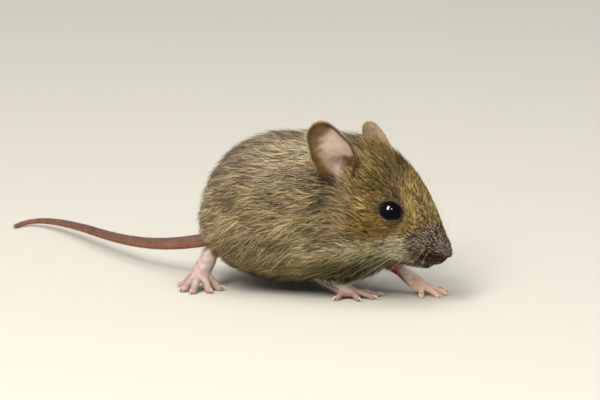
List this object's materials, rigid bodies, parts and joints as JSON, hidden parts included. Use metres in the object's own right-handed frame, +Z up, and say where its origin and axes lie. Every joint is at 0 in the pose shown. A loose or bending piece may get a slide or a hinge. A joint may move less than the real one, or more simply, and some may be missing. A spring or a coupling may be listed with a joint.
{
  "type": "young wood mouse (long-tailed field mouse)",
  "caption": "Still, life-size model of a young long-tailed field mouse, crouched low in a slow step with its head turned a little and its tail swept out behind.",
  "frame": {"origin": "middle of the whole box, at the level of the floor that the feet stand on", "axes": "+X along the trunk towards the nose, +Y to the animal's left, +Z up; the head is turned 9 degrees to the animal's right and leans 8 degrees to its left"},
  "size_m": [0.0996, 0.043, 0.0321],
  "materials": {
    "brown_fur": "agouti coat: grey at the roots, dark guard hairs, buff tips, darker along the back and ochre on the cheek",
    "pale_fur": "pale grey to cream throat and chin fur",
    "bare_skin": "pink skin of the feet under fine pale hairs",
    "ear_skin": "thin ear skin, pink inside, brown and finely haired towards the rim",
    "nose_skin": "moist dark pink-brown nose pad with short grey-brown hairs behind it",
    "tail_skin": "ringed scaly tail skin, grey-brown above and red-brown below, with sparse short hairs",
    "eye": "wet glossy black eye",
    "claw": "small pale horn claws"
  },
  "bodies": {
    "root": {"claw_forepaw_left_1": "claw", "claw_forepaw_left_2": "claw", "claw_forepaw_left_3": "claw", "claw_forepaw_left_4": "claw", "claw_forepaw_right_1": "claw", "claw_forepaw_right_2": "claw", "claw_forepaw_right_3": "claw", "claw_forepaw_right_4": "claw", "claw_hindfoot_left_1": "claw", "claw_hindfoot_left_2": "claw", "claw_hindfoot_left_3": "claw", "claw_hindfoot_left_4": "claw", "claw_hindfoot_left_5": "claw", "claw_hindfoot_right_1": "claw", "claw_hindfoot_right_2": "claw", "claw_hindfoot_right_3": "claw", "claw_hindfoot_right_4": "claw", "claw_hindfoot_right_5": "claw", "ear_left": "ear_skin", "ear_right": "ear_skin", "eye_left": "eye", "eye_right": "eye", "foreleg_left": "brown_fur", "foreleg_right": "brown_fur", "forepaw_left": "bare_skin", "forepaw_right": "bare_skin", "head": "brown_fur", "hindfoot_left": "bare_skin", "hindfoot_right": "bare_skin", "lower_jaw": "pale_fur", "neck": "brown_fur", "nose": "nose_skin", "shank_left": "brown_fur", "tail_far": "tail_skin", "tail_middle": "tail_skin", "tail_root": "tail_skin", "tail_tip": "tail_skin", "thigh_left": "brown_fur", "thigh_right": "brown_fur", "trunk": "brown_fur"}
  },
  "joints": []
}
